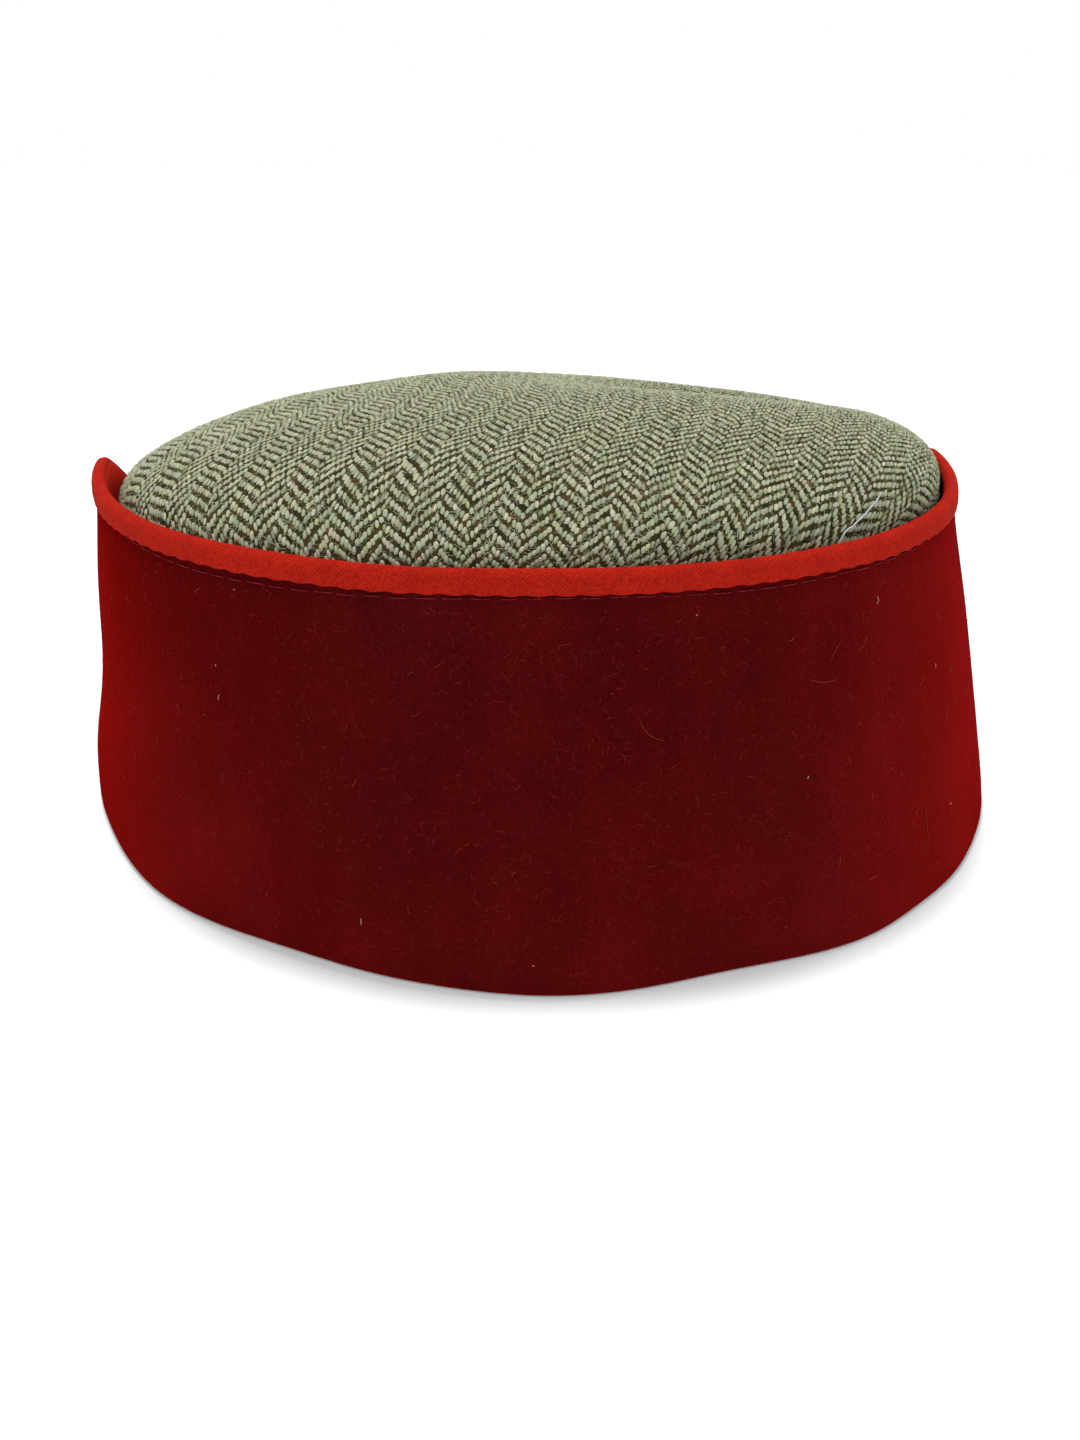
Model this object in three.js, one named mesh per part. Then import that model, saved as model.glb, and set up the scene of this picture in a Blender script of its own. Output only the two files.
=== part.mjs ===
import * as THREE from 'three';

// A kullu cap standing on its rim: a puffed wool crown, a velvet band round its front and sides,
// and a cloth tape folded over the band's edge. Millimetres, +Z up, the front of the cap at -Y.
// A bearing is measured in degrees from the front, to +X at 90 and -X at -90.

// Thicknesses of the cloth
const crownThickness = 2.2;
const bandThickness = 1.8;
const tapeThickness = 0.6;
const seatGap = 0.3;

// The band
const bandHeight = 66.5;
const ovalPower = { front: 1.89, back: 2.0 };
const bandFoot = { left: -136, right: 140 };
const bandShoulder = { left: -86, right: 96 };
const endFall = { start: 1.25, finish: 1.5 };
const endEdgeHeight = 5;
const turnedEdge = { height: 1.6, flat: 0.5 };
const endStandOff = { distance: 1.2, from: 78, to: 112 };

// Outer face of the band by height, as a share of bandHeight
const bandSections = [
  { at: 0.00, halfWidth: 96.2, halfFront: 98.6, halfBack: 100.0, shiftX: 0.1, shiftY: 0.0 },
  { at: 0.30, halfWidth: 93.4, halfFront: 95.2, halfBack: 98.3, shiftX: -1.2, shiftY: -1.8 },
  { at: 0.65, halfWidth: 90.0, halfFront: 89.6, halfBack: 95.9, shiftX: -2.7, shiftY: -4.0 },
  { at: 1.00, halfWidth: 85.7, halfFront: 83.2, halfBack: 93.0, shiftX: -4.1, shiftY: -6.1 },
];

// How far the top edge stands above bandHeight
const edgeRise = [
  { bearing: -180, rise: 2.9 },
  { bearing: -86, rise: 2.9 },
  { bearing: -72, rise: 0.7 },
  { bearing: -50, rise: 0.0 },
  { bearing: 0, rise: 0.2 },
  { bearing: 50, rise: -0.2 },
  { bearing: 76, rise: 0.5 },
  { bearing: 96, rise: 3.2 },
  { bearing: 180, rise: 3.2 },
];

// Upright folds: how far the walls stand out at the rim and at the top edge
const folds = [
  { bearing: -86, span: 12, rim: 0.9, top: 0.0 },
  { bearing: -68, span: 11, rim: -0.7, top: -0.3 },
  { bearing: -47, span: 9, rim: 0.7, top: 0.0 },
  { bearing: -27, span: 9, rim: -1.2, top: -0.2 },
  { bearing: 2, span: 12, rim: 1.4, top: -1.6 },
  { bearing: 18, span: 8, rim: -0.9, top: -0.5 },
  { bearing: 36, span: 10, rim: 1.9, top: -0.2 },
  { bearing: 54, span: 9, rim: 0.7, top: 0.0 },
  { bearing: 68, span: 10, rim: -0.3, top: 0.0 },
];

// Shallow dents and swells part of the way up the walls
const wallDents = [
  { bearing: -90, height: 33, spanBearing: 32, spanHeight: 15, push: -1.3 },
  { bearing: -92, height: 11, spanBearing: 26, spanHeight: 9, push: 0.7 },
  { bearing: -20, height: 30, spanBearing: 26, spanHeight: 22, push: 0.7 },
  { bearing: 24, height: 40, spanBearing: 22, spanHeight: 18, push: -0.6 },
  { bearing: 168, height: 34, spanBearing: 30, spanHeight: 20, push: -1.2 },
];

// The crown
const shoulderHeight = 65;
const crownSlack = { width: 1.7, depth: 2.1 };
const crownShiftX = 0.4;
const domeRise = 18.3;
const domePower = 1.95;
const shoulderPower = 2.86;
const domeTilt = 0.038;
const ringSpacing = 2.2;

// Soft humps and hollows of the puffed top
const domeDents = [
  { x: -55, y: 36, span: 23, rise: 0.9 },
  { x: -18, y: 48, span: 17, rise: 0.9 },
  { x: 34, y: 44, span: 25, rise: -4.8 },
  { x: 56, y: 30, span: 20, rise: -3.0 },
];

// The tape: how far its two legs reach down from the band's edge, and its lift off the ground
const tapeLeg = { outer: 2.1, inner: 2.0 };
const tapeFootLift = 0.6;

// Facets
const crownColumns = 66;
const domeRings = 13;
const wallRings = 6;
const bandColumns = 92;
const bandRows = 7;
const endColumns = 12;

const turn = Math.PI / 180;
const mix = (a, b, t) => a + (b - a) * t;
const bell = (distance, span) => Math.exp(-((distance / span) ** 2));
const apart = (a, b) => ((a - b + 540) % 360) - 180;

// A table read between its rows, and the same eased so that no row leaves a corner
function between(rows, key, at, column) {
  if (at <= rows[0][key]) return rows[0][column];
  for (let i = 1; i < rows.length; i += 1) {
    const [low, high] = [rows[i - 1], rows[i]];
    if (at <= high[key]) {
      const t = (at - low[key]) / (high[key] - low[key]);
      return mix(low[column], high[column], t);
    }
  }
  return rows[rows.length - 1][column];
}

function eased(rows, key, at, column, reach) {
  const shares = [[-1, 1], [-0.5, 2], [0, 3], [0.5, 2], [1, 1]];
  return shares.reduce((sum, [k, share]) => sum + share * between(rows, key, at + k * reach, column), 0) / 9;
}

function softness(bearing, z) {
  const at = Math.min(1, z / bandHeight);
  let push = 0;
  for (const f of folds) {
    const there = bell(apart(bearing, f.bearing), f.span);
    push += there * (f.rim * (1 - at) ** 1.4 + f.top * at ** 1.4);
  }
  for (const d of wallDents) {
    push += d.push * bell(apart(bearing, d.bearing), d.spanBearing) * bell(z - d.height, d.spanHeight);
  }
  return push;
}

// A point of a wall that lies a set distance inside the band's outer face
function wallPoint(bearing, z, inWidth, inDepth, shiftX = 0) {
  const section = (column) => eased(bandSections, 'at', z / bandHeight, column, 0.12);
  const [s, c] = [Math.sin(bearing * turn), Math.cos(bearing * turn)];
  const power = c > 0 ? ovalPower.front : ovalPower.back;
  const halfWidth = section('halfWidth') - inWidth;
  const halfDepth = section(c > 0 ? 'halfFront' : 'halfBack') - inDepth;
  const reach = (Math.abs(s / halfWidth) ** power + Math.abs(c / halfDepth) ** power) ** (-1 / power);
  const radius = reach + softness(bearing, z);
  return new THREE.Vector3(radius * s + section('shiftX') + shiftX, section('shiftY') - radius * c, z);
}

// The middle of the band's cloth, which stands a little further off the crown towards its ends
function midFace(bearing, z) {
  const past = (Math.abs(bearing) - endStandOff.from) / (endStandOff.to - endStandOff.from);
  const inside = bandThickness / 2 - endStandOff.distance * THREE.MathUtils.smoothstep(past, 0, 1);
  return wallPoint(bearing, z, inside, inside);
}

// The level direction square to the band, pointing outward
function outward(bearing, z) {
  const along = midFace(bearing + 0.5, z).sub(midFace(bearing - 0.5, z));
  return new THREE.Vector3(along.y, -along.x, 0).normalize();
}

// The direction square to the band's leaning face
function facing(bearing, z) {
  const along = midFace(bearing + 0.5, z).sub(midFace(bearing - 0.5, z));
  const up = midFace(bearing, z + 0.5).sub(midFace(bearing, z - 0.5));
  return along.cross(up).normalize();
}

// Height of the band's edge; past its shoulders it falls in a round sweep to the rim
function bandEdge(bearing) {
  const full = bandHeight + eased(edgeRise, 'bearing', bearing, 'rise', 6);
  const side = bearing < 0 ? 'left' : 'right';
  const past = (bearing - bandShoulder[side]) / (bandFoot[side] - bandShoulder[side]);
  if (past <= 0) return full;
  const fall = Math.max(0, 1 - past ** endFall.start) ** (1 / endFall.finish);
  return Math.max(endEdgeHeight, full * fall);
}

// Bearings of the band's columns, closer together down the swept ends
function bandBearings() {
  const list = [];
  for (let i = 0; i < endColumns; i += 1) {
    list.push(mix(bandFoot.left, bandShoulder.left, (i / endColumns) ** 1.5));
  }
  const middle = bandColumns - 2 * endColumns;
  for (let i = 0; i <= middle; i += 1) list.push(mix(bandShoulder.left, bandShoulder.right, i / middle));
  for (let i = endColumns - 1; i >= 0; i -= 1) {
    list.push(mix(bandFoot.right, bandShoulder.right, (i / endColumns) ** 1.5));
  }
  return list;
}

// A closed solid between two matching grids of points, front[column][row] facing outward
function solidBetween(front, back, { wrap = false, peak = false } = {}) {
  const positions = [];
  const index = [];
  const known = new Map();
  const corner = (p) => {
    const key = [p.x, p.y, p.z].map((v) => Math.round(v * 2000)).join();
    if (!known.has(key)) {
      known.set(key, positions.length / 3);
      positions.push(p.x, p.y, p.z);
    }
    return known.get(key);
  };
  const triangle = (a, b, c) => {
    const [i, j, k] = [corner(a), corner(b), corner(c)];
    if (i !== j && j !== k && k !== i) index.push(i, j, k);
  };
  const quad = (a, b, c, d) => {
    triangle(a, b, c);
    triangle(a, c, d);
  };
  const columns = front.length;
  const rows = front[0].length;
  const last = wrap ? columns : columns - 1;
  for (let i = 0; i < last; i += 1) {
    const n = (i + 1) % columns;
    for (let j = 0; j < rows - 1; j += 1) {
      quad(front[i][j], front[n][j], front[n][j + 1], front[i][j + 1]);
      quad(back[i][j], back[i][j + 1], back[n][j + 1], back[n][j]);
    }
    quad(back[i][0], back[n][0], front[n][0], front[i][0]);
    if (!peak) quad(front[i][rows - 1], front[n][rows - 1], back[n][rows - 1], back[i][rows - 1]);
  }
  if (!wrap) {
    for (let j = 0; j < rows - 1; j += 1) {
      quad(back[0][j], front[0][j], front[0][j + 1], back[0][j + 1]);
      quad(front[last][j], back[last][j], back[last][j + 1], front[last][j + 1]);
    }
  }
  const geometry = new THREE.BufferGeometry();
  geometry.setAttribute('position', new THREE.Float32BufferAttribute(positions, 3));
  geometry.setIndex(index);
  geometry.computeVertexNormals();
  return geometry;
}

// The crown's outer face: up the wall for u from -1 to 0, over the dome for u from 0 to 1
function crownPoint(bearing, u) {
  const shoulderAt = (x) => shoulderHeight + domeTilt * x;
  const wallAt = (z) => wallPoint(
    bearing, z,
    bandThickness + seatGap + crownSlack.width * Math.min(1, z / shoulderHeight),
    bandThickness + seatGap + crownSlack.depth * Math.min(1, z / shoulderHeight),
    crownShiftX * Math.min(1, z / shoulderHeight));
  const brow = wallAt(shoulderHeight);
  if (u <= 0) {
    const p = wallAt(shoulderHeight * (1 + u));
    p.z = (1 + u) * shoulderAt(brow.x);
    return p;
  }
  const share = 1 - u ** ringSpacing;
  const middle = (column) => eased(bandSections, 'at', shoulderHeight / bandHeight, column, 0.12);
  const heart = new THREE.Vector2(middle('shiftX') + crownShiftX, middle('shiftY'));
  const p = new THREE.Vector3(mix(heart.x, brow.x, share), mix(heart.y, brow.y, share), 0);
  p.z = shoulderAt(p.x) + domeRise * Math.max(0, 1 - share ** domePower) ** (1 / shoulderPower);
  for (const d of domeDents) {
    p.z += d.rise * bell(Math.hypot(p.x - heart.x - d.x, p.y - heart.y - d.y), d.span) * (1 - share ** 8);
  }
  return p;
}

function crownShape() {
  const steps = [];
  for (let j = 0; j < wallRings; j += 1) steps.push(-1 + j / wallRings);
  for (let j = 0; j <= domeRings; j += 1) steps.push(j / domeRings);
  const outer = [];
  const inner = [];
  const reach = 0.01;
  for (let i = 0; i < crownColumns; i += 1) {
    const bearing = (360 * i) / crownColumns - 180;
    outer.push(steps.map((u) => crownPoint(bearing, u)));
    inner.push(steps.map((u, j) => {
      const p = crownPoint(bearing, u);
      if (u >= 1) return p.setZ(p.z - crownThickness);
      const along = crownPoint(bearing + 1, u).sub(crownPoint(bearing - 1, u));
      const up = crownPoint(bearing, u + reach).sub(crownPoint(bearing, Math.max(-1, u - reach)));
      const out = j === 0 ? new THREE.Vector3(along.y, -along.x, 0) : along.cross(up);
      return p.addScaledVector(out.normalize(), -crownThickness);
    }));
  }
  return solidBetween(outer, inner, { wrap: true, peak: true });
}

function bandShape() {
  const outer = [];
  const inner = [];
  for (const bearing of bandBearings()) {
    const edge = bandEdge(bearing);
    const heights = [0, turnedEdge.height / 3, turnedEdge.height];
    for (let j = 1; j <= bandRows; j += 1) heights.push(mix(turnedEdge.height, edge, j / bandRows));
    const half = heights.map((z) => {
      const round = Math.sqrt(Math.max(0, 1 - (1 - Math.min(1, z / turnedEdge.height)) ** 2));
      return (bandThickness / 2) * mix(turnedEdge.flat, 1, round);
    });
    outer.push(heights.map((z, j) => midFace(bearing, z).addScaledVector(outward(bearing, z), half[j])));
    inner.push(heights.map((z) => midFace(bearing, z).addScaledVector(outward(bearing, z), -bandThickness / 2)));
  }
  return solidBetween(outer, inner);
}

// The line of the band's edge, from one foot up, along the top and down to the other foot
function edgeLine() {
  const bearings = bandBearings();
  const line = bearings.map((bearing) => ({ bearing, z: bandEdge(bearing) }));
  const first = { bearing: bearings[0], z: tapeFootLift };
  const end = { bearing: bearings[bearings.length - 1], z: tapeFootLift };
  return [first, ...line, end];
}

function tapeShape() {
  const line = edgeLine();
  const degreeLength = bandSections[0].halfWidth * turn;
  const half = bandThickness / 2 + seatGap;
  const outer = [];
  const inner = [];
  line.forEach((at, i) => {
    const before = line[Math.max(0, i - 1)];
    const after = line[Math.min(line.length - 1, i + 1)];
    const round = (after.bearing - before.bearing) * degreeLength;
    const run = new THREE.Vector2(round, after.z - before.z).normalize();
    const off = new THREE.Vector2(-run.y, run.x);
    const place = (distance, across) => {
      const bearing = at.bearing + (off.x * distance) / degreeLength;
      const z = Math.max(tapeFootLift, at.z + off.y * distance);
      return midFace(bearing, z).addScaledVector(facing(bearing, z), across);
    };
    const section = (radius, legOuter, legInner) => {
      const points = [place(-legOuter, radius), place(0, radius)];
      for (const angle of [45, 90, 135]) {
        points.push(place(radius * Math.sin(angle * turn), radius * Math.cos(angle * turn)));
      }
      points.push(place(0, -radius), place(-legInner, -radius));
      return points;
    };
    outer.push(section(half + tapeThickness, tapeLeg.outer, tapeLeg.inner));
    inner.push(section(half, tapeLeg.outer, tapeLeg.inner));
  });
  return solidBetween(outer, inner);
}

function piece(name, geometry, color) {
  const material = new THREE.MeshStandardMaterial({ color, roughness: 0.9, metalness: 0 });
  const mesh = new THREE.Mesh(geometry, material);
  mesh.name = name;
  return mesh;
}

const cap = new THREE.Group();
cap.name = 'kullu_cap';
cap.add(piece('crown', crownShape(), 0x8c8a72));
cap.add(piece('front_band', bandShape(), 0x7d0b0f));
cap.add(piece('binding', tapeShape(), 0xc5291b));

// The origin lies on the ground under the middle of the cap
const room = new THREE.Box3().setFromObject(cap);
const centre = room.getCenter(new THREE.Vector3());
cap.position.set(-centre.x, -centre.y, -room.min.z);
cap.updateMatrixWorld(true);

export default cap;
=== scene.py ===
import bpy
import numpy as np
from mathutils import Euler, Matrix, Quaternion


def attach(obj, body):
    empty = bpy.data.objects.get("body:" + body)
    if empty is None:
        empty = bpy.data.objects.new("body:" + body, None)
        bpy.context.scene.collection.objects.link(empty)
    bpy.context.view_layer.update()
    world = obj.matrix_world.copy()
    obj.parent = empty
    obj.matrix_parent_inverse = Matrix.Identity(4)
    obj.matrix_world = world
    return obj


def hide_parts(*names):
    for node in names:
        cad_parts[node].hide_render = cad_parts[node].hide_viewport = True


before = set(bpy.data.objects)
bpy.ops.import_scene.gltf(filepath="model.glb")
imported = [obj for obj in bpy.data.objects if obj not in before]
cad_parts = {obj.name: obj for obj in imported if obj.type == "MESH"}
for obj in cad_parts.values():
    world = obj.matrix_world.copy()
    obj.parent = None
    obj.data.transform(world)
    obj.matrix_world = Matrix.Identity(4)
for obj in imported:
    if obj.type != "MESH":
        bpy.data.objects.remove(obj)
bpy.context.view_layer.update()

# A kullu cap standing on its rim. Shapes are worked out in millimetres in the row frame and stored in
# metres. A bearing is measured in degrees from the front of the cap, to +X at 90 and -X at -90.


# The camera stands in front of the cap, a little above its top, and looks down at it by some twenty
# degrees. It leans by less than half a degree.
camera = bpy.data.objects.new("camera", bpy.data.cameras.new("camera"))
camera.data.lens = 37.68
camera.location = (-0.0002, -0.3129, 0.1287)
look_down = 20.6
lean = 0.42
camera.rotation_mode = "QUATERNION"
level = Euler((np.radians(90 - look_down), 0, 0)).to_quaternion()
camera.rotation_quaternion = level @ Quaternion((0, 0, 1), np.radians(lean))
bpy.context.scene.collection.objects.link(camera)
bpy.context.scene.camera = camera


# The crown is a soft shell of woollen tweed: a round top, puffed up by the padding under it, sewn to an
# upright wall that the band hides in front. The dark ground of its weave, the weft, is this shell.
crown_thickness = 2.2
band_thickness = 1.8
seat_gap = 0.3
band_height = 66.5
oval_power = {"front": 1.89, "back": 2.0}

# Outer face of the band by height, as a share of band_height
section_at = (0.00, 0.30, 0.65, 1.00)
half_width = (96.2, 93.4, 90.0, 85.7)
half_front = (98.6, 95.2, 89.6, 83.2)
half_back = (100.0, 98.3, 95.9, 93.0)
middle_x = (0.62, -0.68, -2.18, -3.58)
middle_y = (1.10, -0.70, -2.90, -5.00)

# Upright folds as (bearing, span, push at the rim, push at the top edge)
folds = (
    (-86, 12, 0.9, 0.0), (-68, 11, -0.7, -0.3), (-47, 9, 0.7, 0.0), (-27, 9, -1.2, -0.2), (2, 12, 1.4, -1.6),
    (18, 8, -0.9, -0.5), (36, 10, 1.9, -0.2), (54, 9, 0.7, 0.0), (68, 10, -0.3, 0.0),
)
# Shallow dents and swells as (bearing, height, span in bearing, span in height, push)
wall_dents = (
    (-90, 33, 32, 15, -1.3), (-92, 11, 26, 9, 0.7), (-20, 30, 26, 22, 0.7), (24, 40, 22, 18, -0.6),
    (168, 34, 30, 20, -1.2),
)
# How fast a fold dies away from the rim or the top edge, and a dent of the top near the shoulder
fold_fade = 1.4
dent_fade = 8
shoulder_height = 65
crown_slack = {"width": 1.7, "depth": 2.1}
crown_shift_x = 0.4
dome_rise = 18.3
dome_power = 1.95
shoulder_power = 2.86
dome_tilt = 0.038
# The point that the dome tilts about and the stripes are counted from
origin = (0.52, 1.10)
# Soft humps and hollows of the puffed top as (x, y, span, rise)
dome_dents = ((-55, 36, 23, 0.9), (-18, 48, 17, 0.9), (34, 44, 25, -4.8), (56, 30, 20, -3.0))
# The seam round the top lies below the shoulder. It draws the cloth in, and its turned-in edges make a
# ridge inside.
seam_drop = 3.5
groove = {"depth": 0.65, "span": 0.8}
inner_ridge = {"height": 0.8, "span": 1.6}


def bell(distance, span):
    return np.exp(-(distance / span) ** 2)


def apart(bearing, other):
    return (bearing - other + 540) % 360 - 180


def eased(at, marks, values, reach):
    """A table read between its marks and smoothed, so that no mark leaves a corner."""
    shares = ((-1, 1), (-0.5, 2), (0, 3), (0.5, 2), (1, 1))
    total = sum(share for _, share in shares)
    return sum(share * np.interp(at + k * reach, marks, values) for k, share in shares) / total


def section(z, values):
    """One measure of the band's outer face at a height."""
    return eased(z / band_height, section_at, values, reach=0.12)


def softness(bearing, z):
    """How far the soft walls stand out of their smooth oval."""
    at = np.clip(z / band_height, 0, 1)
    push = np.zeros(np.shape(at))
    for where, span, rim, top in folds:
        faded = rim * (1 - at) ** fold_fade + top * at ** fold_fade
        push = push + bell(apart(bearing, where), span) * faded
    for where, height, span, span_height, amount in wall_dents:
        push = push + amount * bell(apart(bearing, where), span) * bell(z - height, span_height)
    return push


def wall_point(bearing, z, in_width, in_depth, shift_x=0.0):
    """Points of a wall that lies a set distance inside the band's outer face."""
    bearing, z = np.broadcast_arrays(np.asarray(bearing, float), np.asarray(z, float))
    s = np.sin(np.radians(bearing))
    c = np.cos(np.radians(bearing))
    power = np.where(c > 0, oval_power["front"], oval_power["back"])
    wide = section(z, half_width) - in_width
    deep = np.where(c > 0, section(z, half_front), section(z, half_back)) - in_depth
    reach = (np.abs(s / wide) ** power + np.abs(c / deep) ** power) ** (-1 / power)
    radius = reach + softness(bearing, z)
    x = radius * s + section(z, middle_x) + shift_x
    y = section(z, middle_y) - radius * c
    return np.stack([x, y, z], -1)


def crown_wall(bearing, z):
    """The crown's upright wall, which leans in from the band towards its shoulder."""
    up = np.clip(z / shoulder_height, 0, 1)
    inside = band_thickness + seat_gap
    place = wall_point(bearing, z, inside + crown_slack["width"] * up, inside + crown_slack["depth"] * up,
                       crown_shift_x * up)
    brow_x = wall_point(bearing, np.full(np.shape(z), float(shoulder_height)),
                        inside + crown_slack["width"], inside + crown_slack["depth"], crown_shift_x)[..., 0]
    place[..., 2] = z * (shoulder_height + dome_tilt * (brow_x - origin[0])) / shoulder_height
    return place


heart = np.array([section(shoulder_height, middle_x) + crown_shift_x, section(shoulder_height, middle_y)])

# Length of cloth from the middle of the top out to each share of the way to the shoulder, in steps that
# close up towards the shoulder
mean_radius = 84.0
share_steps = 1 - np.linspace(1, 0, 600) ** 2.2
dome_steps = dome_rise * np.maximum(0, 1 - share_steps ** dome_power) ** (1 / shoulder_power)
cloth_run = np.r_[0, np.cumsum(np.hypot(mean_radius * np.diff(share_steps), np.diff(dome_steps)))]


def brow_radius(bearing):
    """How far the shoulder lies from the middle of the top."""
    brow = crown_wall(bearing, np.full(np.shape(bearing), float(shoulder_height)))
    return np.hypot(brow[..., 0] - heart[0], brow[..., 1] - heart[1])


def to_shoulder(bearing):
    """Length of cloth from the middle of the top to its shoulder."""
    return cloth_run[-1] * brow_radius(bearing) / mean_radius


def crown_point(bearing, run):
    """The crown's outer face, run millimetres of cloth from the middle of its top."""
    bearing, run = np.broadcast_arrays(np.asarray(bearing, float), np.asarray(run, float))
    radius = brow_radius(bearing)
    scaled = run * mean_radius / radius
    share = np.interp(scaled, cloth_run, share_steps)
    x = heart[0] + radius * share * np.sin(np.radians(bearing))
    y = heart[1] - radius * share * np.cos(np.radians(bearing))
    z = shoulder_height + dome_tilt * (x - origin[0])
    z = z + dome_rise * np.maximum(0, 1 - share ** dome_power) ** (1 / shoulder_power)
    for dent_x, dent_y, span, rise in dome_dents:
        away = np.hypot(x - heart[0] - dent_x, y - heart[1] - dent_y)
        z = z + rise * bell(away, span) * (1 - share ** dent_fade)
    over = np.maximum(0, run - cloth_run[-1] * radius / mean_radius)
    wall = crown_wall(bearing, np.clip(shoulder_height - over, 0, None))
    return np.where((over > 0)[..., None], wall, np.stack([x, y, z], -1))


def crown_normal(bearing, run):
    nudge = 0.4
    along = crown_point(bearing + nudge, run) - crown_point(bearing - nudge, run)
    down = crown_point(bearing, run + nudge) - crown_point(bearing, np.maximum(run - nudge, 0))
    out = np.cross(down, along)
    return out / np.maximum(np.linalg.norm(out, axis=-1, keepdims=True), 1e-9)


def seam_groove(bearing, run):
    """How far the seam round the top draws the cloth in."""
    return groove["depth"] * bell(run - to_shoulder(bearing) - seam_drop, groove["span"])


def make_piece(name, points, faces):
    """A smooth-shaded mesh object from points in millimetres."""
    mesh = bpy.data.meshes.new(name)
    mesh.from_pydata((np.asarray(points).reshape(-1, 3) * 0.001).tolist(), [], faces)
    mesh.polygons.foreach_set("use_smooth", np.ones(len(mesh.polygons), bool))
    mesh.update()
    made = bpy.data.objects.new(name, mesh)
    bpy.context.scene.collection.objects.link(made)
    return made


def grid_faces(columns, rows, start=0, wrap=False, flip=False):
    """Faces of a grid whose points run column by column."""
    last = columns if wrap else columns - 1
    i, j = np.meshgrid(np.arange(last), np.arange(rows - 1), indexing="ij")
    n = (i + 1) % columns
    faces = np.stack([i * rows + j, n * rows + j, n * rows + j + 1, i * rows + j + 1], -1)
    faces = faces.reshape(-1, 4) + start
    return (faces[:, ::-1] if flip else faces).tolist()


def linear(colour):
    """An sRGB hex colour as linear RGBA."""
    parts = [int(colour[i:i + 2], 16) / 255 for i in (1, 3, 5)]
    return [p / 12.92 if p <= 0.04045 else ((p + 0.055) / 1.055) ** 2.4 for p in parts] + [1.0]


def node(material, kind, inputs=(), stops=(), **settings):
    """Adds a node. Inputs are values or other nodes' sockets, and stops are a colour ramp's."""
    made = material.node_tree.nodes.new("ShaderNode" + kind)
    for name, value in settings.items():
        setattr(made, name, value)
    for name, value in dict(inputs).items():
        if isinstance(value, bpy.types.NodeSocket):
            material.node_tree.links.new(value, made.inputs[name])
        else:
            made.inputs[name].default_value = value
    for i, (at, colour) in enumerate(stops):
        stop = made.color_ramp.elements[i] if i < 2 else made.color_ramp.elements.new(at)
        stop.position = at
        stop.color = linear(colour)
    return made


def new_material(name):
    material = bpy.data.materials.new(name)
    material.use_nodes = True
    material.node_tree.nodes.clear()
    return material


def finish_material(material, shader):
    output = material.node_tree.nodes.new("ShaderNodeOutputMaterial")
    material.node_tree.links.new(shader.outputs[0], output.inputs["Surface"])
    return material


crown_columns = 220
dome_rows = 44
bearings = 360 * np.arange(crown_columns) / crown_columns - 180
seam_height = shoulder_height - seam_drop
# The wall's rows stand closer together round the seam
below_seam = np.linspace(0, seam_height - 3, 22)
round_seam = seam_height + np.linspace(-1.8, 1.8, 9)
wall_heights = np.r_[below_seam, round_seam, shoulder_height - 0.8]
full = to_shoulder(bearings)[:, None]
runs = np.concatenate([full + shoulder_height - wall_heights,
                       full * (1 - np.linspace(0, 1, dome_rows, endpoint=False) ** 1.8)], 1)
bearing_grid = np.broadcast_to(bearings[:, None], runs.shape)
face = crown_point(bearing_grid, runs)
out = crown_normal(bearing_grid, runs)
outer = face - out * seam_groove(bearing_grid, runs)[..., None]
# At the rim the thickness is level, so that the cap stands flat
out[:, 0, 2] = 0
ridge = inner_ridge["height"] * bell(runs - full - seam_drop, inner_ridge["span"])
inner = face - out * (crown_thickness + ridge)[..., None]
rows = runs.shape[1]
peak = crown_point(0.0, np.array([0.0]))
points = np.concatenate([outer.reshape(-1, 3), inner.reshape(-1, 3), peak, peak - [0, 0, crown_thickness]])
count = crown_columns * rows
faces = grid_faces(crown_columns, rows, 0, True)
faces += grid_faces(crown_columns, rows, count, True, True)
for i in range(crown_columns):
    n = (i + 1) % crown_columns
    faces.append((i * rows + rows - 1, n * rows + rows - 1, 2 * count))
    faces.append((count + n * rows + rows - 1, count + i * rows + rows - 1, 2 * count + 1))
    faces.append((count + i * rows, count + n * rows, n * rows, i * rows))
crown = make_piece("crown", points, faces)
lined = np.array([min(corners) >= count and max(corners) != 2 * count for corners in faces])
crown.data.polygons.foreach_set("material_index", lined.astype(np.int32))

# Woollen weft: thick dark brown yarn with olive and rusty fibres spun in, matt and slightly hairy. Its
# fibres are drawn at 0.4 mm, coarser than real ones, so that they show.
weft = new_material("woollen_weft_dark_brown")
place = node(weft, "TexCoord")
flecks = node(weft, "TexNoise", {"Vector": place.outputs["Object"], "Scale": 1000 / 2.6, "Detail": 3.0})
weft_colour = node(weft, "ValToRGB", {"Fac": flecks.outputs["Fac"]}, stops=(
    (0.30, "#211f11"), (0.74, "#4f2b1a"), (0.45, "#302a16"), (0.62, "#40351e")))
fibre = node(weft, "TexNoise", {"Vector": place.outputs["Object"], "Scale": 1000 / 0.4, "Detail": 2.0})
bump = node(weft, "Bump", {"Height": fibre.outputs["Fac"], "Strength": 0.6, "Distance": 0.0002})
shader = node(weft, "BsdfPrincipled", {
    "Base Color": weft_colour.outputs["Color"], "Roughness": 0.95, "Specular IOR Level": 0.05,
    "Normal": bump.outputs["Normal"]})
crown.data.materials.append(finish_material(weft, shader))

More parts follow.
